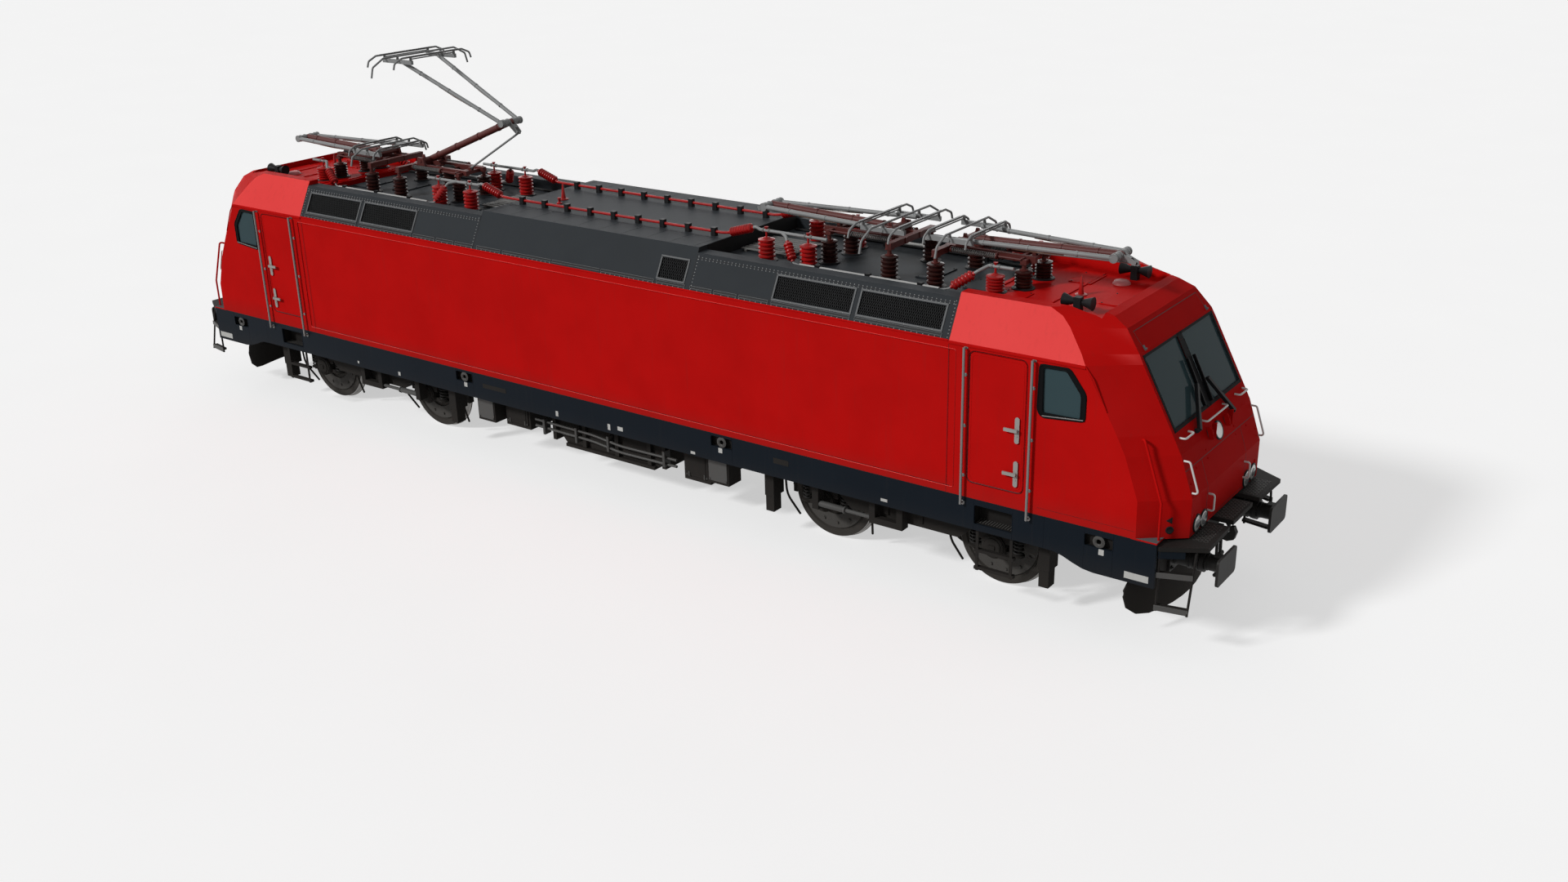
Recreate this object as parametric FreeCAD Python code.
import FreeCAD, Part
import math
import os

# Four-axle electric locomotive with a cab at each end and four pantographs.
# X runs along the track towards end 1, Y to the left, Z up.  Lengths are millimetres.
# Heights in this file are above the rail top; save() lifts every piece by the flange
# height, so that the flanges of the wheels stand on z = 0.

V = FreeCAD.Vector

# ---- driving dimensions -------------------------------------------------------------
LENGTH_OVER_BUFFERS = 18900.0
BODY_WIDTH = 2978.0
SILL_HEIGHT = 1410.0            # joint between dark skirt and painted wall
EAVE_HEIGHT = 3390.0            # where the wall ends and the roof slope begins
ROOF_HEIGHT = 3920.0            # top of the raised roof and of the cab roof
ROOF_FLOOR = 3700.0             # floor of the two equipment wells
RIM_HEIGHT = 3855.0             # parapet along each equipment well
MIDDLE_ROOF_HALF = 2050.0       # half length of the raised middle roof
CAB_BACK = 6200.0               # where the cab wall meets the side wall
CAB_ROOF_BACK = 6050.0
CAB_ROOF_FLOOR = 3780.0         # floor of the shallow well in the cab roof
CAB_WELL_FRONT = 7790.0
WALL = 60.0

PIVOT_DISTANCE = 10440.0
BOGIE_WHEELBASE = 2600.0
WHEEL_DIAMETER = 1250.0
FLANGE = 28.0
BACK_TO_BACK = 1360.0
WHEEL_WIDTH = 135.0
AXLE_RADIUS = 92.0
JOURNAL_RADIUS = 65.0
RUNNING_GAP = 0.3

SKIRT_BOTTOM = 1000.0
SKIRT_END_BOTTOM = 850.0
SKIRT_END = 8820.0
SKIRT_THICKNESS = 40.0
DECK_BOTTOM = 1330.0
DECK_EDGE_BOTTOM = SILL_HEIGHT - 30
CAB_FLOOR = 1600.0

DOOR_BACK, DOOR_FRONT = 6340.0, 7100.0
DOOR_SILL, DOOR_HEAD = 1630.0, 3310.0
DOOR_THICKNESS = 40.0
DOOR_GAP = 8.0
HINGE_INSET = 43.0              # hinge line from the rear edge of a door leaf
HINGE_DEPTH = 29.0              # hinge line behind the wall's face
HINGE_PIN = 11.0

BUFFER_HEIGHT = 1060.0
BUFFER_SPACING = 1750.0

PIVOT_X = PIVOT_DISTANCE / 2
HALF_WIDTH = BODY_WIDTH / 2
HALF_LENGTH = LENGTH_OVER_BUFFERS / 2
AXLE_HEIGHT = WHEEL_DIAMETER / 2
ROOF_HALF_TOP = HALF_WIDTH - 279         # half width of the flat roof top
RIM_INNER = HALF_WIDTH - 449
CAB_WELL_HALF = HALF_WIDTH - 444
# end modules are drawn with their buffer faces this far out, and then moved to the real end
END_REACH = 9450.0
END_SHIFT = HALF_LENGTH - END_REACH

# cab envelope: height, half width at the side, x of the side's front edge,
# half width of the front face, x of the front face
CAB_LEVELS = (
    (SILL_HEIGHT, HALF_WIDTH, 8560.0, HALF_WIDTH - 389, 9050.0),
    (1890.0, HALF_WIDTH, 8550.0, HALF_WIDTH - 389, 9050.0),
    (2400.0, HALF_WIDTH, 8370.0, HALF_WIDTH - 389, 8875.0),
    (2620.0, HALF_WIDTH, 8258.0, HALF_WIDTH - 389, 8760.0),
    (EAVE_HEIGHT, HALF_WIDTH, 7820.0, HALF_WIDTH - 389, 8349.0),
    (3500.0, HALF_WIDTH - 58, 7740.0, HALF_WIDTH - 399, 8290.0),
    (3750.0, HALF_WIDTH - 189, 7520.0, HALF_WIDTH - 479, 8090.0),
    (3850.0, HALF_WIDTH - 242, 7400.0, HALF_WIDTH - 549, 7900.0),
    (ROOF_HEIGHT, ROOF_HALF_TOP, 7230.0, HALF_WIDTH - 629, 7560.0),
)
WINDSCREEN_SLOPE = (8349.0 - 8760.0) / (EAVE_HEIGHT - 2620.0)

# pantographs: number, x of the lowered head, direction of the knee, raised, wide head
PANTOGRAPHS = (
    (1, 5439.0, 1, False, False),
    (2, 4461.0, -1, False, True),
    (3, -4501.0, 1, True, True),
    (4, -5469.0, -1, False, False),
)
PIVOT_HEIGHT = 4240.0
LOWER_ARM = 2020.0
UPPER_ARM = 2080.0
LOWERED_ANGLES = (1.7, 0.0)     # lower arm and upper arm above the horizontal
RAISED_ANGLES = (21.95, 23.7)
LEVER = 225.0
LEVER_DROP = 19.0               # degrees below the line of the upper arm
ROD_FOOT = (900.0, -62.0)       # from the lower arm's pivot


# ---- helpers ------------------------------------------------------------------------
def box(x0, x1, y0, y1, z0, z1):
    return Part.makeBox(x1 - x0, y1 - y0, z1 - z0, V(x0, y0, z0))


def prism(points, direction):
    wire = Part.makePolygon(list(points) + [points[0]])
    return Part.Face(wire).extrude(direction)


def prism_y(outline, y0, y1):
    """Outline of (x, z) pairs, extruded from y0 to y1."""
    return prism([V(x, y0, z) for x, z in outline], V(0, y1 - y0, 0))


def prism_x(outline, x0, x1):
    """Outline of (y, z) pairs, extruded from x0 to x1."""
    return prism([V(x0, y, z) for y, z in outline], V(x1 - x0, 0, 0))


def prism_z(outline, z0, z1):
    """Outline of (x, y) pairs, extruded from z0 to z1."""
    return prism([V(x, y, z0) for x, y in outline], V(0, 0, z1 - z0))


def rod(start, end, radius):
    a, b = V(*start), V(*end)
    return Part.makeCylinder(radius, (b - a).Length, a, b - a)


def cone(start, end, radius_start, radius_end):
    a, b = V(*start), V(*end)
    return Part.makeCone(radius_start, radius_end, (b - a).Length, a, b - a)


def turned(profile, base, axis):
    """Solid of revolution: profile of (radius, height) pairs about an axis at base."""
    points = [V(r, 0, h) for r, h in profile]
    face = Part.Face(Part.makePolygon(points + [points[0]]))
    solid = face.revolve(V(0, 0, 0), V(0, 0, 1), 360)
    turn = FreeCAD.Rotation(V(0, 0, 1), V(*axis))
    solid.Placement = FreeCAD.Placement(V(*base), turn)
    return Part.Solid(solid) if solid.ShapeType != "Solid" else solid


def bent_path(points, radius):
    """Straight runs joined by tangent arcs."""
    pts = [V(*p) for p in points]
    edges = []
    last = pts[0]
    for before, corner, after in zip(pts, pts[1:], pts[2:]):
        run_in = (corner - before).normalize()
        run_out = (after - corner).normalize()
        half_turn = run_in.getAngle(run_out) / 2
        cut = radius * math.tan(half_turn)
        start = corner - run_in * cut
        end = corner + run_out * cut
        to_centre = (run_out - run_in).normalize()
        middle = corner + to_centre * (radius / math.cos(half_turn) - radius)
        edges.append(Part.LineSegment(last, start).toShape())
        edges.append(Part.Arc(start, middle, end).toShape())
        last = end
    edges.append(Part.LineSegment(last, pts[-1]).toShape())
    return Part.Wire(edges)


def bent_tube(points, radius, bend):
    path = bent_path(points, bend)
    first = V(*points[1]) - V(*points[0])
    ring = Part.Wire([Part.Circle(V(*points[0]), first, radius).toShape()])
    return path.makePipeShell([ring], True, True)


def flip_x(shape):
    return shape.mirror(V(0, 0, 0), V(1, 0, 0))


def flip_y(shape):
    return shape.mirror(V(0, 0, 0), V(0, 1, 0))


def both_sides(shapes):
    return list(shapes) + [flip_y(s) for s in shapes]


def at_end(shape):
    """Moves an end module from where it is drawn out to the end of the body."""
    return shape.translated(V(END_SHIFT, 0, 0))


def outward(x):
    return x + math.copysign(END_SHIFT, x)


def mirrored(shapes):
    return list(shapes) + [flip_x(s) for s in shapes]


def both_ends(shapes):
    return mirrored([at_end(s) for s in shapes])


def four_corners(shapes):
    return both_ends(both_sides(shapes))


def fuse(shapes):
    first, rest = shapes[0], list(shapes[1:])
    joined = (first.fuse(rest) if rest else first).removeSplitter()
    if joined.Volume < 0:
        joined.reverse()
    return joined


def save(name, shapes):
    solids = []
    for shape in shapes if isinstance(shapes, (list, tuple)) else [shapes]:
        solids += shape.Solids
    whole = Part.makeCompound(solids) if len(solids) > 1 else solids[0]
    whole = whole.copy()
    whole.translate(V(0, 0, FLANGE))
    whole.exportStep("parts/" + name + ".step")
    volume = sum(s.Volume for s in whole.Solids) / 1e9
    print("%-28s %3d solids  %8.4f m3" % (name, len(whole.Solids), volume))


# ---- body: cab, walls, roof ----------------------------------------------------------
def cab_level(height, side_half, side_x, front_half, front_x, inset):
    side_half -= inset
    side_x -= 0.6 * inset
    front_half -= 0.6 * inset
    front_x -= inset
    half = [(CAB_ROOF_BACK, side_half), (side_x, side_half), (front_x, front_half)]
    ring = half + [(x, -y) for x, y in reversed(half)]
    points = [V(x, y, height) for x, y in ring]
    return Part.makePolygon(points + [points[0]])


def cab_envelope(inset):
    levels = [list(level) for level in CAB_LEVELS]
    if inset:
        levels[0][0] -= 10
        levels = [level for level in levels if level[0] < ROOF_FLOOR]
        levels.append([ROOF_FLOOR - 10, HALF_WIDTH - 163, 7560, HALF_WIDTH - 459, 8140])
    wires = [cab_level(*level, inset) for level in levels]
    return Part.makeLoft(wires, True, True)


def rounded_opening(x0, x1, z0, z1, y0, y1, radius):
    """A block through the wall with rounded corners in the side view."""
    block = box(x0, x1, y0, y1, z0, z1)
    upright = [e for e in block.Edges if abs(e.Vertexes[0].Y - e.Vertexes[-1].Y) > 1]
    return block.makeFillet(radius, upright)


SIDE_GLASS = ((7300, 3285), (7600, 3295), (7800, 3030), (7800, 2730), (7310, 2720))
FRAME_OUTLINE = ((7260, 3310), (7640, 3320), (7850, 3050), (7850, 2720), (7310, 2670), (7250, 2745))
WINDSCREEN_BOTTOM, WINDSCREEN_TOP = 2640.0, 3460.0
PANE_HALF_GAP, PANE_OUTER = 40.0, HALF_WIDTH - 469
LEDGE_FRONT, LEDGE_THICKNESS = 8820.0, 20.0


def front_face_x(height):
    return 8760.0 + WINDSCREEN_SLOPE * (height - 2620.0)


def nose_x(height):
    """x of the flat front face at a height."""
    for low, high in zip(CAB_LEVELS, CAB_LEVELS[1:]):
        if height <= high[0]:
            break
    share = (height - low[0]) / (high[0] - low[0])
    return low[4] + share * (high[4] - low[4])


def corner_facet(low, high, across, up):
    """Point and outward normal on the bevelled left corner between two cab levels."""
    side = V(low[2], low[1], low[0])
    front = V(low[4], low[3], low[0]) - side
    rise = V(high[2], high[1], high[0]) - side
    normal = front.cross(rise).normalize()
    return side + front * across + rise * up, normal if normal.x > 0 else normal * -1


def corner_ledge():
    """Small shelf on the sill, in front of the corner bevel."""
    low = CAB_LEVELS[0]
    reach = (LEDGE_FRONT - low[2]) / (low[4] - low[2]) * (low[1] - low[3])
    plan = [(low[2] - 60, HALF_WIDTH), (LEDGE_FRONT, HALF_WIDTH), (LEDGE_FRONT, HALF_WIDTH - reach - 20)]
    plan.append((low[2] - 60, HALF_WIDTH - 40))
    return prism_z(plan, SILL_HEIGHT, SILL_HEIGHT + LEDGE_THICKNESS)


def cab_shell():
    shell = cab_envelope(0).cut(cab_envelope(WALL))
    well = box(CAB_ROOF_BACK - 1, CAB_WELL_FRONT, -CAB_WELL_HALF, CAB_WELL_HALF, CAB_ROOF_FLOOR, 4000)
    behind = box(CAB_ROOF_BACK - 1, CAB_BACK, -HALF_WIDTH - 11, HALF_WIDTH + 11, SILL_HEIGHT - 20, EAVE_HEIGHT)
    shell = shell.cut([well, behind])
    holes = []
    for side in (-1, 1):
        outer, inner = side * (HALF_WIDTH + 20), side * (HALF_WIDTH - 90)
        y0, y1 = min(outer, inner), max(outer, inner)
        holes.append(rounded_opening(DOOR_BACK, DOOR_FRONT, DOOR_SILL, DOOR_HEAD, y0, y1, 70))
        holes.append(prism_y(SIDE_GLASS, y0, y1))
        pane = (side * PANE_HALF_GAP, side * PANE_OUTER)
        holes.append(box(7900, 9200, min(pane), max(pane), WINDSCREEN_BOTTOM, WINDSCREEN_TOP))
        x, y = DOOR_BACK + DOOR_GAP + HINGE_INSET, side * (HALF_WIDTH - HINGE_DEPTH)
        holes.append(rod((x, y, DOOR_SILL - 18), (x, y, DOOR_HEAD + 18), HINGE_PIN + RUNNING_GAP))
    return fuse([shell] + both_sides([corner_ledge()])).cut(holes)


def windscreen_panes():
    seat, thickness = 18.0, 22.0
    lean = math.atan(-WINDSCREEN_SLOPE)
    margin = 0.5
    outline = []
    for height in (WINDSCREEN_BOTTOM + margin, WINDSCREEN_TOP - margin):
        outline.append((front_face_x(height) - seat, height))
    for height in (WINDSCREEN_TOP - margin, WINDSCREEN_BOTTOM + margin):
        outline.append((front_face_x(height) - seat - thickness / math.cos(lean), height))
    pane = prism_y(outline, PANE_HALF_GAP + margin, PANE_OUTER - margin)
    return both_sides([pane])


def side_windows():
    glass = prism_y(SIDE_GLASS, HALF_WIDTH - 30, HALF_WIDTH - 12)
    return both_sides([glass])


def window_frames():
    outer = prism_y(FRAME_OUTLINE, HALF_WIDTH + RUNNING_GAP, HALF_WIDTH + 9)
    inner = prism_y(SIDE_GLASS, HALF_WIDTH - 9, HALF_WIDTH + 20)
    return both_sides([outer.cut(inner)])


def side_wall():
    half = outward(CAB_BACK)
    wall = box(-half, half, HALF_WIDTH - WALL, HALF_WIDTH, SILL_HEIGHT, EAVE_HEIGHT)
    recess = rounded_opening(50 - half, half - 50, 1500, 3290, HALF_WIDTH - 8, HALF_WIDTH + 5, 20)
    return wall.cut(recess)


def slope_point(along, depth):
    """Point of the left roof slope: distance up from the eave and depth below the skin."""
    rise = ROOF_HEIGHT - EAVE_HEIGHT
    run = HALF_WIDTH - ROOF_HALF_TOP
    length = math.hypot(rise, run)
    y = HALF_WIDTH - (along * run + depth * rise) / length
    z = EAVE_HEIGHT + (along * rise - depth * run) / length
    return y, z


def slope_block(x0, x1, s0, s1, depth):
    corners = [slope_point(s0, -10), slope_point(s1, -10), slope_point(s1, depth), slope_point(s0, depth)]
    return prism_x(corners, x0, x1)


# intake grilles in the roof slope: x from, x to, slope distance from, to
GRILLES = (
    (3410.0, 4610.0, 110.0, 400.0),
    (4700.0, 5920.0, 110.0, 400.0),
)
GRILLE_DEPTH = 24.0


def roof_end():
    rim_y, rim_z = slope_point(525, 0)
    half = [(HALF_WIDTH, EAVE_HEIGHT), (rim_y, rim_z), (RIM_INNER, rim_z), (RIM_INNER, ROOF_FLOOR)]
    under = [(HALF_WIDTH - WALL, EAVE_HEIGHT), (RIM_INNER + 60, ROOF_FLOOR - 80)]
    ring = half + [(-y, z) for y, z in reversed(half)]
    ring += [(-y, z) for y, z in under] + [(y, z) for y, z in reversed(under)]
    roof = prism_x(ring, MIDDLE_ROOF_HALF, CAB_ROOF_BACK)
    pockets = [slope_block(x0, x1, s0, s1, GRILLE_DEPTH) for x0, x1, s0, s1 in GRILLES]
    return roof.cut(both_sides(pockets))


def roof_middle():
    skin = [(HALF_WIDTH, EAVE_HEIGHT), (ROOF_HALF_TOP, ROOF_HEIGHT)]
    lining = [(HALF_WIDTH - WALL, EAVE_HEIGHT), (ROOF_HALF_TOP - 50, ROOF_HEIGHT - 70)]
    ring = skin + [(-y, z) for y, z in reversed(skin)]
    ring += [(-y, z) for y, z in lining] + [(y, z) for y, z in reversed(lining)]
    roof = prism_x(ring, -outward(MIDDLE_ROOF_HALF), outward(MIDDLE_ROOF_HALF))
    half = RIM_INNER + 60
    end = [(half, ROOF_FLOOR), (half, ROOF_HEIGHT - 40), (-half, ROOF_HEIGHT - 40), (-half, ROOF_FLOOR)]
    ends = both_ends([prism_x(end, MIDDLE_ROOF_HALF - 40, MIDDLE_ROOF_HALF)])
    pocket = at_end(flip_y(slope_block(1480, 1950, 80, 390, GRILLE_DEPTH)))
    return fuse([roof] + ends).cut([pocket, flip_x(flip_y(pocket))])


# ---- underframe ------------------------------------------------------------------------
# jacking sockets: x and height, on both sides and both ends
JACK_SOCKETS = ((8110.0, 1263.0), (2520.0, 1300.0))
SOCKET_RADIUS, SOCKET_BORE = 78.0, 30.0
SOCKET_WINDOW = (370.0, 160.0)
STEP_X = (6450.0, 6980.0)
SKIRT_JOINT = 2.0


def skirt_outline():
    half = [
        (SKIRT_END, SILL_HEIGHT), (SKIRT_END, SKIRT_END_BOTTOM), (8060, SKIRT_END_BOTTOM),
        (7920, 868), (7780, 915), (7660, 965), (7540, 995), (7400, SKIRT_BOTTOM),
    ]
    return [(outward(x), z) for x, z in half] + [(-outward(x), z) for x, z in reversed(half)]


def skirt():
    """Skirt plates of one side, with an open joint between each two."""
    windows = [(sum(STEP_X) / 2, 1210, STEP_X[1] - STEP_X[0], 260)]
    windows += [(x, height) + SOCKET_WINDOW for x, height in JACK_SOCKETS]
    windows = [(outward(side * x), z, wide, tall) for x, z, wide, tall in windows for side in (-1, 1)]
    windows.sort()
    y0, y1 = HALF_WIDTH - SKIRT_THICKNESS, HALF_WIDTH
    panel = prism_y(skirt_outline(), y0, y1)
    cuts, half_joint = [], SKIRT_JOINT / 2
    for x, z, wide, tall in windows:
        left, right = x - wide / 2, x + wide / 2
        cuts.append(box(left, right, y0 - 5, y1 + 5, z - tall / 2, z + tall / 2))
        for edge in (left, right):
            cuts.append(box(edge - half_joint, edge + half_joint, y0 - 5, y1 + 5, 0, SILL_HEIGHT + 5))
    plain = outward(7400)
    for x in (-plain, plain):
        cuts.append(box(x - half_joint, x + half_joint, y0 - 5, y1 + 5, 0, SILL_HEIGHT + 5))
    return panel.cut(fuse(cuts)).Solids


def step_pocket():
    """Sheet pocket behind the step cut-out, with its tread and the ladder below it."""
    x0, x1 = STEP_X
    inner = HALF_WIDTH - SKIRT_THICKNESS - RUNNING_GAP
    top = DECK_BOTTOM - RUNNING_GAP
    back = box(x0 - 20, x1 + 20, inner - 150, inner - 140, 1070, top)
    tread = box(x0 - 20, x1 + 20, inner - 140, inner, 1070, 1082)
    cheeks = [box(x, x + 10, inner - 140, inner, 1082, top) for x in (x0 - 20, x1 + 10)]
    posts = [box(x, x + 40, inner - 26, inner - 12, 430, 1070) for x in (x0 + 10, x1 - 50)]
    rungs = [box(x0 - 10, x1 + 10, inner - 72, inner - 12, z, z + 40) for z in (680, 440)]
    return fuse([back, tread] + cheeks + posts + rungs)


def jack_socket(x, height):
    outer = HALF_WIDTH - 12
    inner = HALF_WIDTH - SKIRT_THICKNESS
    plate = box(x - 210, x + 210, inner - 42, inner - 30, height - 105, DECK_EDGE_BOTTOM - RUNNING_GAP)
    low = height - SOCKET_WINDOW[1] / 2
    shelf = box(x - 205, x + 205, inner - 42, inner - RUNNING_GAP, low - 25, low)
    boss = rod((x, outer, height), (x, inner - 42, height), SOCKET_RADIUS)
    bore = rod((x, outer + 1, height), (x, inner - 41, height), SOCKET_BORE)
    return fuse([plate, shelf, boss]).cut(bore)


def underframe():
    inner = HALF_WIDTH - SKIRT_THICKNESS
    behind = inner - 42 - RUNNING_GAP
    half = outward(8700)
    pieces = [box(-half, half, -inner, inner, DECK_EDGE_BOTTOM, SILL_HEIGHT)]
    pieces.append(box(-half, half, -behind, behind, DECK_BOTTOM, DECK_EDGE_BOTTOM))
    pieces += both_sides([box(-2650, 2650, 420, 640, 1130, DECK_BOTTOM)])
    pieces += both_ends([box(8600, 8800, -1320, 1320, 880, DECK_BOTTOM)])
    pieces += mirrored([box(2650, 2850, -1100, 1100, 1130, DECK_BOTTOM)])
    floor_half = HALF_WIDTH - 109
    floors = [box(CAB_BACK, 8450, -floor_half, floor_half, CAB_FLOOR - 40, CAB_FLOOR)]
    floors.append(box(CAB_BACK, CAB_BACK + 60, -floor_half, floor_half, SILL_HEIGHT, CAB_FLOOR - 40))
    floors.append(box(8390, 8450, -1300, 1300, SILL_HEIGHT, CAB_FLOOR - 40))
    return fuse(pieces + both_ends(floors))


def transformer():
    tank = prism_y([(-1060, 1130), (1180, 1130), (1180, 700), (960, 400), (-800, 400), (-1060, 700)], -1060, 1060)
    ribs = []
    for x in (-1060, -450, 200, 830, 1110):
        ribs.append(box(x, x + 70, -1120, 1120, 460, 1130))
    belts = [box(-800, 960, -1120, 1120, 400, 450)]
    return fuse([tank] + ribs + belts)


def underfloor_boxes():
    pieces = [
        box(1560, 2040, -1150, 1150, 430, 1130),
        box(-2020, -1500, -1150, 1150, 520, 1130),
    ]
    light = [box(2110, 2480, 1020, 1300, 560, 1040), box(2110, 2480, 1240, 1300, 1040, DECK_BOTTOM)]
    return pieces + mirrored(both_sides([fuse(light)]))


def converter_block():
    return box(-4700, 4700, -800, 800, SILL_HEIGHT, 3000)


# ---- ends: buffers, draw gear, plough, steps --------------------------------------------
def buffer():
    y, z = BUFFER_SPACING / 2, BUFFER_HEIGHT
    base = box(8800, 8835, y - 190, y + 190, z - 170, z + 170)
    barrel = rod((8835, y, z), (9190, y, z), 118)
    collar = rod((9150, y, z), (9200, y, z), 132)
    plunger = rod((9200, y, z), (9425, y, z), 98)
    plate = box(END_REACH - 32, END_REACH, y - 285, y + 285, z - 170, z + 170)
    corners = [e for e in plate.Edges if abs(e.Vertexes[0].X - e.Vertexes[-1].X) > 1]
    plate = plate.makeFillet(50, corners)
    return fuse([base, barrel, collar, plunger, plate])


def draw_hook():
    z = BUFFER_HEIGHT
    shank = box(8800, 9000, -35, 35, z - 45, z + 45)
    outline = [(8990, z - 60), (9130, z - 95), (9215, z - 60), (9240, z + 30), (9205, z + 105)]
    outline += [(9160, z + 100), (9165, z + 30), (9120, z - 5), (9070, z + 20), (9060, z + 90), (8990, z + 90)]
    hook = prism_y(outline, -35, 35)
    plate = box(8800, 8830, -160, 160, z - 150, z + 150)
    return fuse([shank, hook, plate])


def screw_coupling():
    """Shackle and screw that hang from the hook's shank."""
    z = BUFFER_HEIGHT
    links = []
    for y in (-62, 62):
        links.append(rod((9025, y, z), (9035, y, z - 330), 20))
    pin = rod((9025, -82, z), (9025, -35.3, z), 22)
    screw = rod((9035, -130, z - 330), (9035, 130, z - 330), 26)
    drop = rod((9035, 0, z - 300), (9040, 0, z - 560), 26)
    bow = rod((9040, -90, z - 560), (9040, 90, z - 560), 24)
    return fuse(links + [pin, flip_y(pin), screw, drop, bow])


def plough():
    outer = [(8350, 1280), (8560, 900), (8680, 450), (8720, 0)]
    ring = [V(x, y, 0) for x, y in outer] + [V(x, -y, 0) for x, y in reversed(outer[:-1])]
    back = [p - V(24, 0, 0) for p in reversed(ring)]
    face = Part.Face(Part.makePolygon(ring + back + [ring[0]]))
    blade = face.extrude(V(0, 0, 600))
    blade.translate(V(0, 0, 160))
    brackets = both_sides([box(8520, 8640, 500, 524, 500, 880)])
    return fuse([blade] + brackets)


PLATFORM_TOP = 1385.0
PLATFORM_INNER = HALF_WIDTH - SKIRT_THICKNESS - RUNNING_GAP
PLATFORM_SIDE = (
    (8700, 500), (8700, PLATFORM_INNER), (SKIRT_END + RUNNING_GAP, PLATFORM_INNER),
    (SKIRT_END + RUNNING_GAP, HALF_WIDTH - 23), (8850, HALF_WIDTH - 23), (9330, HALF_WIDTH - 289), (9310, 500),
)


def platforms():
    bottom = PLATFORM_TOP - 55
    side = fuse([prism_z(PLATFORM_SIDE, bottom, PLATFORM_TOP), corner_ladder()])
    middle = box(8700, 9290, -320, 320, bottom, PLATFORM_TOP)
    deck_edge = box(0, 8700, -HALF_WIDTH, HALF_WIDTH, bottom - 1, PLATFORM_TOP + 1)
    return both_sides([side.cut(deck_edge)]) + [middle.cut(deck_edge)]


def corner_ladder():
    top = PLATFORM_TOP - 40
    y = HALF_WIDTH - 94
    posts = [rod((8845, y + 45, top), (8845, y + 45, 560), 15), rod((9205, y - 165, top), (9205, y, 560), 15)]
    treads = []
    for height, lean in ((1020, y - 85), (600, y - 15)):
        plan = [(8830, y + 70), (9215, lean + 15), (9185, lean - 55), (8830, y - 5)]
        treads.append(prism_z(plan, height, height + 34))
    return fuse(posts + treads)


# ---- small things on the cab --------------------------------------------------------------
def door_rail(x):
    stand = HALF_WIDTH + 58
    radius = 17
    rail = rod((x, stand, 1330), (x, stand, 3355), radius)
    feet = [rod((x, HALF_WIDTH, z), (x, stand, z), 13) for z in (1345, 3340)]
    return fuse([rail] + feet)


def corner_rail():
    """Painted tube from the bevelled corner down to the shelf on the sill."""
    foot, normal = corner_facet(CAB_LEVELS[2], CAB_LEVELS[3], 0.44, 0.83)
    start = foot + normal * RUNNING_GAP
    stand = foot + normal * 78
    bottom = SILL_HEIGHT + LEDGE_THICKNESS + RUNNING_GAP
    corner = HALF_WIDTH - 94
    return bent_tube([tuple(start), tuple(stand), (8800, corner, 1887), (8800, corner, bottom)], 15, 40)


GRAB_RADIUS = 12.0


def grab(a, b):
    """Handle between two (y, z) feet on the front face, bent out by one stand-off."""
    points = []
    for (y, z), out in ((a, 0), (a, 75), (b, 75), (b, 0)):
        points.append((nose_x(z - GRAB_RADIUS) + RUNNING_GAP + out, y, z))
    return bent_tube(points, GRAB_RADIUS, 30)


def front_grabs():
    pairs = (((990, 2560), (740, 2560)), ((1075, 2330), (1075, 1960)), ((580, 1780), (580, 1570)))
    return both_sides([grab(a, b) for a, b in pairs]) + [grab((330, 2560), (-330, 2560))]


def lamp(y, z, radius, lean):
    """Headlamp: a domed glass in a ring, seated on the nose."""
    profile = ((0, RUNNING_GAP), (radius, RUNNING_GAP), (radius, 10), (radius - 12, 16), (0, 24))
    return turned(profile, (nose_x(z), y, z), (math.cos(lean), 0, math.sin(lean)))


def headlamps():
    nose_lean = math.atan(0.343)
    lower = [lamp(907, 1527, 100, 0), lamp(700, 1510, 100, 0)]
    return both_sides(lower) + [lamp(0, 2350, 105, nose_lean)]


def horn():
    x, y, floor = 7380.0, 810.0, CAB_ROOF_FLOOR
    block = box(x - 45, x + 45, y - 45, y + 45, floor, floor + 185)
    front = cone((x + 45, y, floor + 125), (x + 190, y, floor + 125), 32, 82)
    rear = cone((x - 45, y, floor + 125), (x - 190, y, floor + 125), 32, 82)
    return fuse([block, front, rear])


def cab_fittings():
    bulkhead = box(6210, 6250, 109 - HALF_WIDTH, HALF_WIDTH - 109, CAB_FLOOR, 3380)
    outline = [(8440, CAB_FLOOR), (8640, 1900), (8640, 2480), (8250, 2520), (8020, 2400), (8020, 2330), (8260, 2250)]
    outline += [(8260, CAB_FLOOR)]
    desk = prism_y(outline, -1080, 1080)
    return [bulkhead, desk]


def seat():
    x, y = 7480.0, 560.0
    post = rod((x, y, CAB_FLOOR), (x, y, 2000), 45)
    foot = rod((x, y, CAB_FLOOR), (x, y, CAB_FLOOR + 30), 190)
    cushion = box(x - 240, x + 240, y - 240, y + 240, 2000, 2110)
    cushion = cushion.makeFillet(35, cushion.Edges)
    back = box(x - 240, x - 130, y - 230, y + 230, 2060, 2780)
    back = back.makeFillet(35, back.Edges)
    return fuse([post, foot, cushion, back])


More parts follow.
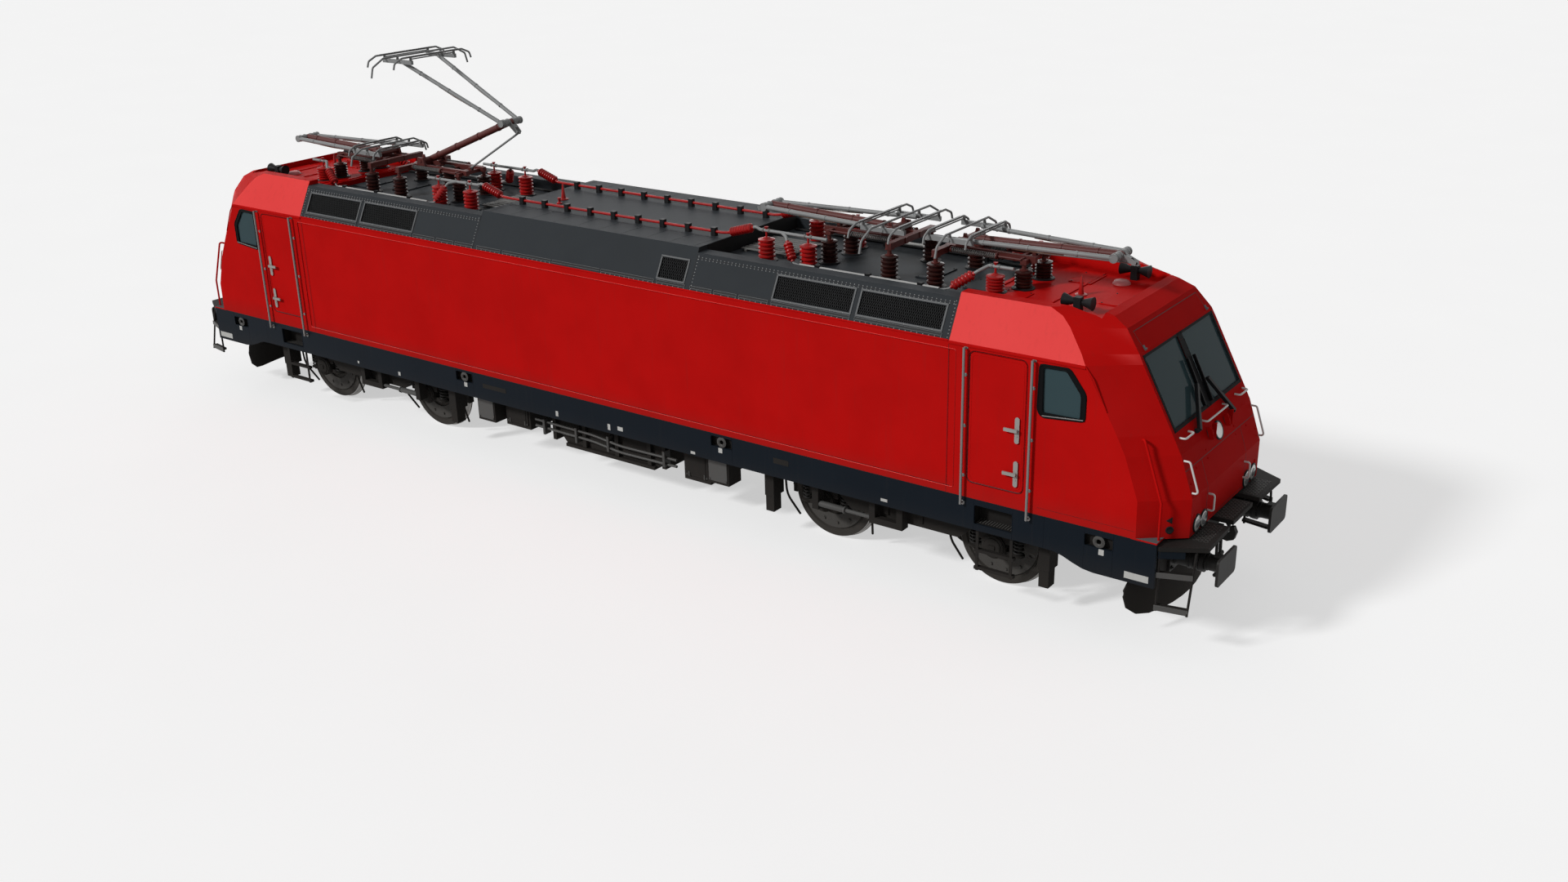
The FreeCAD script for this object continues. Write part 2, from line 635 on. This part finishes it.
def door(side):
    clear = DOOR_GAP
    y1 = HALF_WIDTH - 2
    y0 = y1 - DOOR_THICKNESS
    x0, z0, z1 = DOOR_BACK + clear, DOOR_SILL + clear, DOOR_HEAD - clear
    panel = rounded_opening(x0, DOOR_FRONT - clear, z0, z1, y0, y1, 62)
    hinge_x, hinge_y = x0 + HINGE_INSET, HALF_WIDTH - HINGE_DEPTH
    upright = [rod((hinge_x, hinge_y, z0 - clear - 16), (hinge_x, hinge_y, z1 + clear + 16), HINGE_PIN)]
    handles = []
    for z in (2435, 1875):
        plate = rounded_opening(6975, 7030, z - 165, z + 165, y1 - 1, y1 + 12, 25)
        lever = box(6845, 6990, y1 + 38, y1 + 54, z - 18, z + 18)
        spindle = rod((7000, y1 + 10, z), (7000, y1 + 54, z), 17)
        handles += [plate, lever, spindle]
    whole = fuse([panel] + upright + handles)
    return whole if side > 0 else flip_y(whole)


# ---- roof equipment --------------------------------------------------------------------
def insulator(x, y, floor, top, radius, sheds):
    """Ribbed post: a stack of sheds on a core, with a cap."""
    pitch = (top - floor - 30) / sheds
    profile = [(0, 0), (radius, 0)]
    for i in range(sheds):
        z = i * pitch
        profile += [(radius, z + 0.30 * pitch), (radius * 0.80, z + 0.55 * pitch), (radius * 0.80, z + 0.80 * pitch)]
        profile += [(radius, z + pitch)]
    profile += [(radius, top - floor - 12), (radius * 0.55, top - floor), (0, top - floor)]
    return turned(profile, (x, y, floor), (0, 0, 1))


def spread(*pairs):
    return tuple(tuple((outward(x), y, z) for x, y, z in pair) for pair in pairs)


# red posts of the roof line, one on each side, by x
LINE_Y = 600.0
LINE_POSTS = tuple(outward(x) for x in (6175.0, 3400.0, 2720.0, -2950.0, -3650.0, -6440.0))
POST_RADIUS, POST_TOP = 115.0, 4020.0
BUSBAR_HEIGHT, BUSBAR_RADIUS = 4105.0, 21.5
POST_PIN = 14.0
CABLE_HEIGHT, CABLE_RADIUS = ROOF_HEIGHT + 60, 20.0
LOW_CABLE_Y, LOW_CABLE_HEIGHT, LOW_CABLE_RADIUS = 840.0, 3780.0, 12.0
BUSHING_RADIUS = 65.0
# ribbed bushings, each from the bare pipe down to the insulated cable
CABLE_BUSHINGS = spread(
    ((2510.0, LINE_Y, 4120.0), (2100.0, LINE_Y, 4000.0)),
    ((-2650.0, LINE_Y, 4120.0), (-2260.0, LINE_Y, 3995.0)),
)
LOW_BUSHINGS = spread(
    ((3131.0, 700.0, 4036.0), (3290.0, 800.0, 3804.0)),
    ((5944.0, 700.0, 4011.0), (5671.0, 800.0, 3816.0)),
    ((-3380.0, 700.0, 4036.0), (-3540.0, 800.0, 3804.0)),
    ((-6200.0, 700.0, 4011.0), (-5930.0, 800.0, 3816.0)),
)


def roof_floor(x):
    return ROOF_FLOOR if abs(x) < outward(CAB_ROOF_BACK) else CAB_ROOF_FLOOR


def line_post(x, y):
    """Ribbed post with a shallow cap and a pin that goes through the pipe above it."""
    post = insulator(x, y, roof_floor(x), POST_TOP - 18, POST_RADIUS, 5)
    cover = cone((x, y, POST_TOP - 30), (x, y, POST_TOP), 0.72 * POST_RADIUS, 30)
    pin = rod((x, y, POST_TOP - 5), (x, y, BUSBAR_HEIGHT + 48), POST_PIN)
    cap = cone((x, y, BUSBAR_HEIGHT + 26), (x, y, BUSBAR_HEIGHT + 52), 18, 30)
    return fuse([post, cover, pin, cap])


def beyond(end, other, distance):
    """Point that lies the distance past the first point, away from the second."""
    a, b = V(*end), V(*other)
    return tuple(a + (a - b).normalize() * distance)


def bushing(upper, lower):
    """Leaning ribbed bushing with a metal cap at each end."""
    a, b = V(*upper), V(*lower)
    length = (a - b).Length
    count = round((length - 60) / 45)
    pitch = (length - 60) / count
    profile = [(0, 0), (26, 0), (26, 24), (BUSHING_RADIUS * 0.74, 30)]
    for i in range(count):
        h = 30 + i * pitch
        profile += [(BUSHING_RADIUS, h + 0.35 * pitch), (BUSHING_RADIUS, h + 0.55 * pitch)]
        profile += [(BUSHING_RADIUS * 0.74, h + pitch)]
    profile += [(26, length - 24), (26, length), (0, length)]
    return turned(profile, lower, tuple(a - b))


def line_posts():
    bushings = [bushing(upper, lower) for upper, lower in CABLE_BUSHINGS + LOW_BUSHINGS]
    return both_sides([line_post(x, LINE_Y) for x in LINE_POSTS] + bushings)


def pipe_runs():
    """Corners of the bare pipes on the left side, each main run with its branches."""
    z = BUSBAR_HEIGHT
    runs = []
    for (upper, lower), end in zip(CABLE_BUSHINGS, (3700.0, -3885.0)):
        start = [beyond(upper, lower, RUNNING_GAP), beyond(upper, lower, 40)]
        runs.append(start + [(upper[0] + math.copysign(110, end), LINE_Y, z), (outward(end), LINE_Y, z)])
    for (upper, lower), x in zip(LOW_BUSHINGS[::2], (2980.0, -3230.0)):
        runs.append([(outward(x), LINE_Y, z), beyond(upper, lower, 60), beyond(upper, lower, RUNNING_GAP)])
    for (upper, lower), x, end in zip(LOW_BUSHINGS[1::2], (6085.0, -6340.0), (6420.0, -6680.0)):
        start = [beyond(upper, lower, RUNNING_GAP), beyond(upper, lower, 50)]
        runs.append(start + [(outward(x), LINE_Y, z), (outward(end), LINE_Y, z)])
    return runs


def low_cables():
    """Thin cables along the edge of each equipment well, from bushing to bushing."""
    cables = []
    z = LOW_CABLE_HEIGHT
    for (top_a, first), (top_b, second) in (LOW_BUSHINGS[:2], LOW_BUSHINGS[2:]):
        sign = 1 if first[0] > 0 else -1
        points = [beyond(first, top_a, RUNNING_GAP), beyond(first, top_a, 22), (first[0] + sign * 120, LOW_CABLE_Y, z)]
        points += [(second[0] - sign * 120, LOW_CABLE_Y, z), beyond(second, top_b, 30)]
        cables.append(bent_tube(points + [beyond(second, top_b, RUNNING_GAP)], LOW_CABLE_RADIUS, 40))
    return cables


def busbars():
    """Bare pipes that join the posts along each side of the roof, and the thin cables below them."""
    holes = []
    for x in LINE_POSTS:
        holes.append(rod((x, LINE_Y, BUSBAR_HEIGHT - 40), (x, LINE_Y, BUSBAR_HEIGHT + 40), POST_PIN + RUNNING_GAP))
        holes.append(rod((x, LINE_Y, BUSBAR_HEIGHT + 25.7), (x, LINE_Y, BUSBAR_HEIGHT + 60), 32))
    tubes = [bent_tube(run, BUSBAR_RADIUS, 45) for run in pipe_runs()]
    mains = [fuse([main, branch]).cut(holes) for main, branch in zip(tubes[:2], tubes[2:4])]
    ends = [tube.cut(holes) for tube in tubes[4:]]
    return both_sides(mains + ends + low_cables())


CLAMP_PITCH, CLAMP_COUNT = 457.0, 9
LOW_CLAMP_PITCH, LOW_CLAMP_COUNT = 775.0, 3


def roof_cables():
    """High-voltage cables that run along the raised middle roof, from bushing to bushing."""
    (top_a, a), (top_b, b) = CABLE_BUSHINGS
    points = [beyond(a, top_a, RUNNING_GAP), beyond(a, top_a, 30), (a[0] - 130, LINE_Y, CABLE_HEIGHT)]
    points += [(b[0] + 130, LINE_Y, CABLE_HEIGHT), beyond(b, top_b, 30), beyond(b, top_b, RUNNING_GAP)]
    return both_sides([bent_tube(points, CABLE_RADIUS, 60)])


def clamp(x, y, floor, axis, radius):
    top = axis + radius + 35
    block = box(x - 36, x + 36, y - radius - 15, y + radius + 15, floor, top)
    return block.cut(rod((x - 40, y, axis), (x + 40, y, axis), radius + RUNNING_GAP))


def cable_clamps():
    pieces = []
    for i in range(CLAMP_COUNT):
        x = (i - (CLAMP_COUNT - 1) / 2) * CLAMP_PITCH
        pieces.append(clamp(x, LINE_Y, ROOF_HEIGHT, CABLE_HEIGHT, CABLE_RADIUS))
    for first in (3712.0, -4098.0):
        for i in range(LOW_CLAMP_COUNT):
            x = outward(first) + math.copysign(i * LOW_CLAMP_PITCH, first)
            pieces.append(clamp(x, LOW_CABLE_Y, ROOF_FLOOR, LOW_CABLE_HEIGHT, LOW_CABLE_RADIUS))
    return both_sides(pieces)


def brake_hose(y):
    """Air hose from one cock on the end beam to the other, in one hanging loop."""
    x = 8800 + RUNNING_GAP
    points = [(x, y, 1190), (x + 170, y, 1190), (x + 230, y + 20, 900), (x + 190, y + 110, 900)]
    points += [(x + 110, y + 130, 1020), (x, y + 130, 1020)]
    return bent_tube(points, 19, 45)


# ---- bogies ----------------------------------------------------------------------------
BEAM_INNER, BEAM_OUTER = 960.0, 1120.0
BEAM_TOP = 1010.0
BEAM_END = 2130.0               # half length of a bogie frame


def bogie_frame(centre):
    half = BOGIE_WHEELBASE / 2
    outline = [
        (-BEAM_END, BEAM_TOP), (BEAM_END, BEAM_TOP), (BEAM_END, 900), (half + 290, 830), (half - 260, 830),
        (half - 480, 640), (-half + 480, 640), (-half + 260, 830), (-half - 290, 830), (-BEAM_END, 900),
    ]
    beam = prism_y(outline, BEAM_INNER, BEAM_OUTER)
    pieces = both_sides([beam])
    pieces.append(box(-260, 260, -BEAM_INNER, BEAM_INNER, 700, 980))
    for x in (-BEAM_END, BEAM_END - 100):
        pieces.append(box(x, x + 100, -BEAM_INNER, BEAM_INNER, 900, BEAM_TOP))
    lift = []
    for x in (-440, -20):
        lift.append(box(x, x + 90, BEAM_OUTER, 1270, 590, 980))
    lift.append(box(-440, 70, BEAM_OUTER + 60, 1270, 590, 680))
    bracket = [box(-1390, -1130, BEAM_OUTER, 1200, 840, 980), box(-1350, -1250, 1120, 1270, 570, 980)]
    bars = []
    for x in (-2160, 2010):
        bars.append(box(x, x + 150, BEAM_INNER + 40, 1240, 560, 960))
        bars.append(box(x + 8, x + 142, 1060, 1230, 330, 560))
    pieces += both_sides(lift + bracket + bars)
    frame = fuse(pieces)
    frame.translate(V(centre, 0, 0))
    return frame


def yaw_dampers(centre):
    y, z = 1225.0, 650.0
    ends = -1250 + RUNNING_GAP, -440 - RUNNING_GAP
    damper = [rod((ends[0], y, z), (-840, y, z), 36), rod((-840, y, z), (ends[1], y, z), 22)]
    pieces = both_sides([fuse(damper)])
    for piece in pieces:
        piece.translate(V(centre, 0, 0))
    return pieces


def axle_boxes(centre):
    half = BOGIE_WHEELBASE / 2
    z = AXLE_HEIGHT
    pieces = []
    for x in (-half, half):
        body = rod((x, 850, z), (x, 1085, z), 165)
        saddle = box(x - 230, x + 230, 880, 1060, z + 60, 830)
        bore = rod((x, 840, z), (x, 1071, z), JOURNAL_RADIUS + RUNNING_GAP)
        pieces.append(fuse([body, saddle]).cut(bore))
    pieces = both_sides(pieces)
    for piece in pieces:
        piece.translate(V(centre, 0, 0))
    return pieces


def secondary_springs(centre):
    pieces = []
    for x in (-420, 420):
        top = DECK_BOTTOM - BEAM_TOP - RUNNING_GAP
        coils = 5
        pitch = (top - 20) / coils
        profile = [(0, 0), (150, 0), (150, 10)]
        for i in range(coils):
            base = 10 + i * pitch
            profile += [(112, base + 0.1 * pitch), (138, base + 0.5 * pitch), (112, base + 0.9 * pitch)]
        profile += [(150, top - 10), (150, top), (0, top)]
        pieces.append(turned(profile, (x, 1040, BEAM_TOP), (0, 0, 1)))
    pieces = both_sides(pieces)
    for piece in pieces:
        piece.translate(V(centre, 0, 0))
    return pieces


def traction_motors(centre):
    pieces = []
    for side in (-1, 1):
        x = side * 690.0
        body = rod((x, -600, 600), (x, 600, 600), 300)
        top = box(x - 260, x + 260, -520, 520, 700, 940)
        lug = box(min(side * 260, side * 450), max(side * 260, side * 450), -200, 200, 760, 900)
        pieces.append(fuse([body, top, lug]))
    for piece in pieces:
        piece.translate(V(centre, 0, 0))
    return pieces


def wheelset(x):
    """Axle with its journals, and two flanged wheels pressed on its seats."""
    tread = WHEEL_DIAMETER / 2
    back = BACK_TO_BACK / 2
    face = back + WHEEL_WIDTH
    flange_root = back + 32
    seat = AXLE_RADIUS + 12
    half_axle = [
        (0, 0), (AXLE_RADIUS, 0), (AXLE_RADIUS, 560), (seat, 575), (seat, face + 10), (JOURNAL_RADIUS + 30, face + 12),
        (JOURNAL_RADIUS + 30, 840), (JOURNAL_RADIUS, 845), (JOURNAL_RADIUS, 1070), (0, 1070),
    ]
    bore = seat + RUNNING_GAP
    section = [
        (bore, back - 25), (185, back - 25), (185, back + 20), (290, back + 45), (530, back + 35), (555, back),
        (tread + 12, back), (tread + FLANGE, back + 10), (tread + FLANGE, back + 20), (tread + 4, flange_root),
        (tread, flange_root + 12), (tread - 3, face - 12), (tread - 14, face), (540, face), (525, face - 22),
        (510, face - 22), (500, face - 2), (300, face - 2), (290, face - 25), (190, face - 25), (180, face + 8),
        (bore, face + 8),
    ]
    axle = turned(half_axle, (x, 0, AXLE_HEIGHT), (0, 1, 0))
    wheel = turned(section, (x, 0, AXLE_HEIGHT), (0, 1, 0))
    return [fuse([axle, flip_y(axle)])] + both_sides([wheel])


# ---- pantographs -------------------------------------------------------------------------
def polar(start, length, degrees):
    return (start[0] + length * math.cos(math.radians(degrees)), start[1] + length * math.sin(math.radians(degrees)))


def pantograph_points(raised):
    """Pivot, knee, head hinge, lever tip and rod foot as (x, z), with the knee towards +X."""
    lower, upper = RAISED_ANGLES if raised else LOWERED_ANGLES
    pivot = (0.0, PIVOT_HEIGHT)
    knee = polar(pivot, LOWER_ARM, lower)
    head = polar(knee, UPPER_ARM, 180 - upper)
    tip = polar(knee, LEVER, -upper - LEVER_DROP)
    foot = (ROD_FOOT[0], PIVOT_HEIGHT + ROD_FOOT[1])
    return pivot, knee, head, tip, foot


def pivot_place(head_x, direction):
    """Where the lower arm's pivot goes, so that the lowered head is at head_x."""
    head = pantograph_points(False)[2]
    return outward(head_x) - direction * head[0]


def placed(shape, x, direction):
    if direction < 0:
        shape = flip_x(shape)
    shape.translate(V(x, 0, 0))
    return shape


FRAME_TOP, FRAME_BOTTOM = 4175.0, 4095.0
FRAME_INSULATORS = ((-210.0, 525.0), (890.0, 270.0))
FRAME_POST_TOP = 4010.0
ROD_PIN, ROD_EYE = 12.0, 22.0
KNEE_RADIUS, KNEE_HALF = 50.0, 212.0
LEVER_GAP = 31.0                # inner face of each lever plate from the middle
ARM_SPREAD = (180.0, 385.0)     # distance of the upper tubes from the middle, at knee and head


def pantograph_base():
    rails = [box(-260, 1010, y, y + 60, FRAME_BOTTOM, FRAME_TOP) for y in (150, -210)]
    cross = [box(-250, -170, -560, 560, FRAME_BOTTOM, FRAME_TOP)]
    cross.append(box(850, 930, -300, 300, FRAME_BOTTOM, FRAME_BOTTOM + 50))
    bearings = []
    for y in (210, -245):
        cheek = prism_y([(-110, FRAME_BOTTOM), (110, FRAME_BOTTOM), (60, 4295), (-60, 4295)], y, y + 35)
        bore = rod((0, y - 1, PIVOT_HEIGHT), (0, y + 36, PIVOT_HEIGHT), 30 + RUNNING_GAP)
        bearings.append(cheek.cut(bore))
    foot_x, foot_z = ROD_FOOT[0], PIVOT_HEIGHT + ROD_FOOT[1]
    ears = [box(foot_x - 24, foot_x + 24, y, y + 12, FRAME_BOTTOM, foot_z + 22) for y in (24, -36)]
    pin = rod((foot_x, -36, foot_z), (foot_x, 36, foot_z), ROD_PIN)
    stems = []
    for x, y in FRAME_INSULATORS:
        for side in (-1, 1):
            stems.append(rod((x, side * y, FRAME_POST_TOP), (x, side * y, FRAME_BOTTOM + 5), 28))
    return fuse(rails + cross + bearings + ears + [pin] + stems)


def pantograph_insulators(pivot_x, direction):
    pieces = []
    for along_x, y in FRAME_INSULATORS:
        x = pivot_x + direction * along_x
        for side in (-1, 1):
            pieces.append(insulator(x, side * y, roof_floor(x), FRAME_POST_TOP, 112, 5))
    return pieces


def along(start, end, y0, y1, radius):
    return rod((start[0], y0, start[1]), (end[0], y1, end[1]), radius)


def tapered(start, end, half_start, half_end, y0, y1):
    """Flat bar between two (x, z) points, with its own half height at each."""
    length = math.hypot(end[0] - start[0], end[1] - start[1])
    nx, nz = -(end[1] - start[1]) / length, (end[0] - start[0]) / length
    ring = [(start[0] + nx * half_start, start[1] + nz * half_start), (end[0] + nx * half_end, end[1] + nz * half_end)]
    ring += [(end[0] - nx * half_end, end[1] - nz * half_end), (start[0] - nx * half_start, start[1] - nz * half_start)]
    return prism_y(ring, y0, y1)


def lower_arm(raised):
    pivot, knee, head, tip, foot = pantograph_points(raised)
    short = 1 - 30 / LOWER_ARM
    end = (knee[0] * short, pivot[1] + (knee[1] - pivot[1]) * short)
    tube = along(pivot, end, 0, 0, 52)
    cross = rod((0, -205, pivot[1]), (0, 205, pivot[1]), 46)
    stub = rod((0, -255, pivot[1]), (0, 255, pivot[1]), 30)
    eye = rod((knee[0], -26, knee[1]), (knee[0], 26, knee[1]), KNEE_RADIUS - 2)
    room = rod((knee[0], 26, knee[1]), (knee[0], 120, knee[1]), KNEE_RADIUS + 6)
    bore = rod((knee[0], -60, knee[1]), (knee[0], 60, knee[1]), 20 + RUNNING_GAP)
    return fuse([tube, cross, stub, eye]).cut([room, flip_y(room), bore])


def upper_arm(raised):
    pivot, knee, head, tip, foot = pantograph_points(raised)
    knee_tube = rod((knee[0], LEVER_GAP, knee[1]), (knee[0], KNEE_HALF, knee[1]), KNEE_RADIUS)
    pin = rod((knee[0], -LEVER_GAP - 5, knee[1]), (knee[0], LEVER_GAP + 5, knee[1]), 20)
    arm = along(knee, head, ARM_SPREAD[0], ARM_SPREAD[1], 31)
    stub = rod((head[0], ARM_SPREAD[1], head[1]), (head[0], 482, head[1]), 16)
    plate = tapered(knee, tip, KNEE_RADIUS - 8, 26, LEVER_GAP, LEVER_GAP + 12)
    whole = fuse(both_sides([knee_tube, arm, stub, plate]) + [pin])
    lean = math.atan2(tip[1] - knee[1], tip[0] - knee[0])
    a, b = [
        (knee[0] + run * math.cos(lean) - off * math.sin(lean), knee[1] + run * math.sin(lean) + off * math.cos(lean))
        for run, off in ((0.33 * LEVER, 25), (0.62 * LEVER, 22))
    ]
    web = tapered(a, b, 9, 9, -LEVER_GAP - 5, LEVER_GAP + 5)
    return fuse([whole, web])


def control_rod(raised):
    pivot, knee, head, tip, foot = pantograph_points(raised)
    bar = along(foot, tip, 0, 0, 16)
    eyes = [rod((p[0], -20, p[1]), (p[0], 20, p[1]), ROD_EYE) for p in (foot, tip)]
    bores = [rod((p[0], -30, p[1]), (p[0], 30, p[1]), ROD_PIN + RUNNING_GAP) for p in (foot, tip)]
    return fuse([bar] + eyes).cut(bores)


# collector bows of a head: x from the hinge, half width of the flat, half width at the tips, drop of the tips
NARROW_BOWS = ((-300.0, 395.0, 585.0, 150.0), (0.0, 470.0, 800.0, 250.0), (300.0, 395.0, 585.0, 150.0))
WIDE_BOWS = ((-300.0, 560.0, 805.0, 160.0), (0.0, 640.0, 1000.0, 280.0), (300.0, 560.0, 805.0, 160.0))
BOW_RISE = 95.0
BOW_RADIUS = 15.0


def bow(x, flat, tip, drop, hinge):
    top = hinge[1] + BOW_RISE
    spread = tip - flat
    half = [(tip, top - drop), (tip - 0.12 * spread, top - 0.45 * drop), (flat + 0.25 * spread, top - 0.04 * drop)]
    points = [(hinge[0] + x, -y, z) for y, z in half] + [(hinge[0] + x, y, z) for y, z in reversed(half)]
    return bent_tube(points, BOW_RADIUS, 60)


def pantograph_head(raised, wide):
    pivot, knee, head, tip, foot = pantograph_points(raised)
    x, z = head
    table = WIDE_BOWS if wide else NARROW_BOWS
    pieces = []
    beam = box(x - 330, x + 330, 425, 470, z - 28, z + 34)
    beam = beam.cut(rod((x, 420, z), (x, 490, z), 16 + RUNNING_GAP))
    pieces += both_sides([beam])
    for offset, flat, tip_y, drop in table:
        pieces.append(bow(offset, flat, tip_y, drop, head))
        foot_z = z + 30
        pieces += both_sides([box(x + offset - 14, x + offset + 14, 434, 462, foot_z, z + BOW_RISE - 4)])
    pieces += [rod((x + dx, -445, z + 56), (x + dx, 445, z + 56), 10) for dx in (-300, 300)]
    return fuse(pieces)


# ---- build ------------------------------------------------------------------------------
os.makedirs("parts", exist_ok=True)

shell = at_end(cab_shell())
save("cab_1", shell)
save("cab_2", flip_x(shell))
save("cab_glass", both_ends(windscreen_panes() + side_windows()))
save("cab_window_frames", both_ends(window_frames()))
wall = side_wall()
save("side_walls", both_sides([wall]))
end_roof = roof_end()
save("roof_ends", both_ends([end_roof]))
save("roof_middle", roof_middle())
save("underframe", underframe())
save("jack_sockets", four_corners([jack_socket(x, height) for x, height in JACK_SOCKETS]))
save("side_skirts", both_sides(skirt()))
save("transformer", transformer())
save("underfloor_boxes", underfloor_boxes())
save("converter_block", converter_block())
save("buffers", four_corners([buffer()]))
save("draw_gear", both_ends([draw_hook(), screw_coupling()]))
save("ploughs", both_ends([plough()]))
save("platforms_and_ladders", both_ends(platforms()) + four_corners([step_pocket()]))
save("handrails", four_corners([door_rail(6290), door_rail(7190)]) + both_ends(front_grabs()))
save("corner_rails", four_corners([corner_rail()]))
save("headlamps", both_ends(headlamps()))
save("roof_fittings", four_corners([horn()]) + cable_clamps())
save("roof_cables", roof_cables())
save("brake_hoses", four_corners([brake_hose(360)]))
save("cab_fittings", both_ends(cab_fittings()) + four_corners([seat()]))
save("line_posts", line_posts())
save("busbars", busbars())
for end, sign in ((1, 1), (2, -1)):
    for side, name in ((1, "left"), (-1, "right")):
        leaf = at_end(door(side))
        save("cab_door_%d_%s" % (end, name), leaf if sign > 0 else flip_x(leaf))
for number, centre in ((1, PIVOT_X), (2, -PIVOT_X)):
    turn = (lambda s: s) if centre > 0 else flip_x
    save("bogie_frame_%d" % number, turn(bogie_frame(PIVOT_X)))
    save("suspension_%d" % number, [turn(p) for p in yaw_dampers(PIVOT_X) + secondary_springs(PIVOT_X)])
    save("axle_boxes_%d" % number, axle_boxes(centre))
    save("traction_motors_%d" % number, traction_motors(centre))
half_base = BOGIE_WHEELBASE / 2
AXLES = (PIVOT_X + half_base, PIVOT_X - half_base, -PIVOT_X + half_base, -PIVOT_X - half_base)
for number, x in enumerate(AXLES, 1):
    save("wheelset_%d" % number, wheelset(x))
bases, posts = [], []
for number, head_x, direction, raised, wide in PANTOGRAPHS:
    x = pivot_place(head_x, direction)
    bases.append(placed(pantograph_base(), x, direction))
    posts += pantograph_insulators(x, direction)
    save("pantograph_%d_lower_arm" % number, placed(lower_arm(raised), x, direction))
    save("pantograph_%d_upper_arm" % number, placed(upper_arm(raised), x, direction))
    save("pantograph_%d_rod" % number, placed(control_rod(raised), x, direction))
    save("pantograph_%d_head" % number, placed(pantograph_head(raised, wide), x, direction))
save("pantograph_bases", bases)
save("pantograph_insulators", posts)
